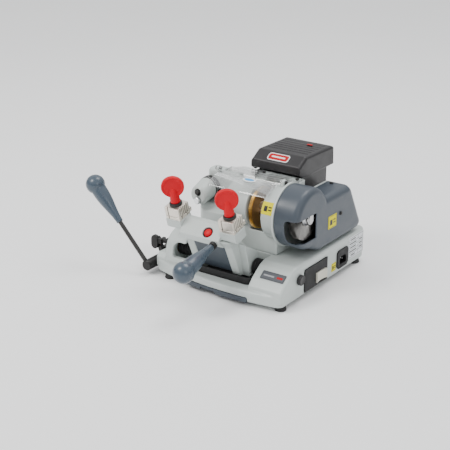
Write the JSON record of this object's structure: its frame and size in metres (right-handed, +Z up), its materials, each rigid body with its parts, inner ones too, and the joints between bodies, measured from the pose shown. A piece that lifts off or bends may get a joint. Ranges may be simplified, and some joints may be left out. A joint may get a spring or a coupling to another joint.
{
  "type": "key duplicating machine",
  "caption": "Bench machine that copies flat keys: tilting carriage with key clamps and levers, toothed cutter, tracer, covered belt drive and deburring brush.",
  "frame": {"origin": "middle of the machine's overall footprint, levers included, on the surface it stands on", "axes": "+Z up, +X to the operator's right along the spindle, +Y away from the operator"},
  "size_m": [0.4626, 0.4432, 0.234],
  "materials": {
    "casting_grey": "smooth grey enamel over a casting",
    "slate_plastic": "fine-grained moulded plastic",
    "black_plastic": "satin black moulded plastic",
    "black_steel": "black oxide",
    "nickel_steel": "ground and nickel plated",
    "bright_steel": "ground",
    "chromed_steel": "polished",
    "gold_cutter": "gold-coloured hard coating",
    "red_plastic": "semi-gloss moulded plastic",
    "black_rubber": "matt",
    "clear_plastic": "clear polycarbonate sheet",
    "yellow_label": "printed film, left blank",
    "silver_label": "printed film, left blank",
    "dark_label": "printed film, left blank",
    "white_plastic": "moulded",
    "brush_wire": "packed steel wire",
    "aluminium": "machined",
    "grey_cast": "bare",
    "brass_bush": "machined"
  },
  "bodies": {
    "machine": {"base_casting": "casting_grey", "bottom_plate": "black_steel", "rubber_feet": "black_rubber", "swarf_mat": "black_rubber", "name_plate": "dark_label", "rating_plate": "silver_label", "yellow_labels": "yellow_label", "switch_housing": "black_plastic", "mains_inlet": "black_plastic", "head_casting": "casting_grey", "spindle_bearings": "bright_steel", "motor_housing": "grey_cast", "motor_foot": "grey_cast", "drive_belt": "black_rubber", "cover_backplate": "casting_grey", "belt_cover": "slate_plastic", "cover_screws": "black_steel", "motor_plinth": "black_plastic", "motor_cover": "black_plastic", "shield_strip": "clear_plastic", "hinge_screws": "black_steel", "tracer_housing": "casting_grey", "tracer_lock_screw": "chromed_steel", "shaft_bushes": "brass_bush", "bellows_left": "black_rubber", "bellows_right": "black_rubber", "lever_pivot": "black_steel"},
    "spindle": {"spindle_shaft": "bright_steel", "cutter": "gold_cutter", "spindle_nuts": "bright_steel", "driven_pulley": "aluminium", "wire_brush": "brush_wire"},
    "motor_rotor": {"motor_shaft": "bright_steel", "drive_pulley": "aluminium"},
    "shift_shaft": {"carriage_shaft": "bright_steel", "shift_link": "black_steel"},
    "side_lever": {"lever_hub": "black_steel", "lever_rod": "black_steel", "lever_grip": "slate_plastic"},
    "carriage": {"carriage_casting": "casting_grey", "guard_panel": "slate_plastic", "carriage_screws": "bright_steel", "lower_jaw_left": "nickel_steel", "lower_jaw_right": "nickel_steel", "front_lever_nut": "black_steel", "front_lever_rod": "black_steel", "front_lever_grip": "slate_plastic"},
    "button": {"release_button": "red_plastic"},
    "left_jaw": {"upper_jaw_left": "nickel_steel"},
    "left_knob": {"clamp_collar_left": "black_steel", "clamp_knob_left": "red_plastic"},
    "right_jaw": {"upper_jaw_right": "nickel_steel"},
    "right_knob": {"clamp_collar_right": "black_steel", "clamp_knob_right": "red_plastic"},
    "tracer": {"tracer_point": "black_steel"},
    "ring": {"tracer_ring": "black_steel"},
    "rocker": {"power_rocker": "white_plastic"},
    "turn_knob": {"side_knob": "black_plastic"},
    "tray": {"chip_tray": "slate_plastic"},
    "shield": {"safety_shield": "clear_plastic"}
  },
  "joints": [
    {"name": "spindle_spin", "type": "hinge", "parent": "machine", "child": "spindle", "pos_m": [0.11334, 0.01601, 0.149], "axis": [1, 0, 0], "continuous": true},
    {"name": "motor_spin", "type": "hinge", "parent": "machine", "child": "motor_rotor", "pos_m": [0.11334, 0.13101, 0.128], "axis": [1, 0, 0], "continuous": true},
    {"name": "shaft_shift", "type": "slide", "parent": "machine", "child": "shift_shaft", "axis": [1, 0, 0], "range_m": [-0.014, 0.008], "deforming": ["bellows_left", "bellows_right"]},
    {"name": "side_lever_swing", "type": "hinge", "parent": "machine", "child": "side_lever", "pos_m": [-0.08466, -0.05899, 0.019], "axis": [0, 1, 0], "range_deg": [-24.4, 13.95]},
    {"name": "carriage_tilt", "type": "hinge", "parent": "shift_shaft", "child": "carriage", "pos_m": [0.06334, -0.03599, 0.054], "axis": [-1, 0, 0], "range_deg": [0, 23]},
    {"name": "button_press", "type": "slide", "parent": "carriage", "child": "button", "axis": [0, 0.7071, -0.7071], "range_m": [0, 0.004], "stiffness_N_per_m": 400},
    {"name": "left_clamp_lift", "type": "slide", "parent": "carriage", "child": "left_jaw", "axis": [0, -0.2588, 0.9659], "range_m": [0, 0.003]},
    {"name": "left_clamp_turn", "type": "hinge", "parent": "left_jaw", "child": "left_knob", "pos_m": [-0.00566, -0.09576, 0.16848], "axis": [0, -0.2588, 0.9659], "range_deg": [0, 360]},
    {"name": "right_clamp_lift", "type": "slide", "parent": "carriage", "child": "right_jaw", "axis": [0, -0.2588, 0.9659], "range_m": [0, 0.003]},
    {"name": "right_clamp_turn", "type": "hinge", "parent": "right_jaw", "child": "right_knob", "pos_m": [0.11534, -0.09576, 0.16848], "axis": [0, -0.2588, 0.9659], "range_deg": [0, 360]},
    {"name": "tracer_fine", "type": "slide", "parent": "machine", "child": "tracer", "axis": [0, 1, 0], "range_m": [-0.0005, 0.0005]},
    {"name": "ring_turn", "type": "hinge", "parent": "machine", "child": "ring", "pos_m": [-0.01066, 0.01701, 0.164], "axis": [0, 1, 0], "range_deg": [-180, 180]},
    {"name": "power_switch", "type": "hinge", "parent": "machine", "child": "rocker", "pos_m": [0.22334, 0.04401, 0.028], "axis": [0, 0, 1], "range_deg": [-4, 4]},
    {"name": "side_knob_turn", "type": "hinge", "parent": "machine", "child": "turn_knob", "pos_m": [0.22734, -0.02899, 0.046], "axis": [1, 0, 0], "range_deg": [-135, 135]},
    {"name": "tray_pull", "type": "slide", "parent": "machine", "child": "tray", "axis": [0, -1, 0], "range_m": [0, 0.09]},
    {"name": "shield_lift", "type": "hinge", "parent": "machine", "child": "shield", "pos_m": [0.08334, 0.01901, 0.206], "axis": [-1, 0, 0], "range_deg": [0, 75]}
  ],
  "couplings": [
    {"joint": "motor_spin", "follows": "spindle_spin", "ratio": 0.75},
    {"joint": "side_lever_swing", "follows": "shaft_shift", "rad_per_m": 30.3},
    {"joint": "left_clamp_turn", "follows": "left_clamp_lift", "rad_per_m": 2094.4},
    {"joint": "right_clamp_turn", "follows": "right_clamp_lift", "rad_per_m": 2094.4},
    {"joint": "ring_turn", "follows": "tracer_fine", "rad_per_m": 6283.2}
  ]
}
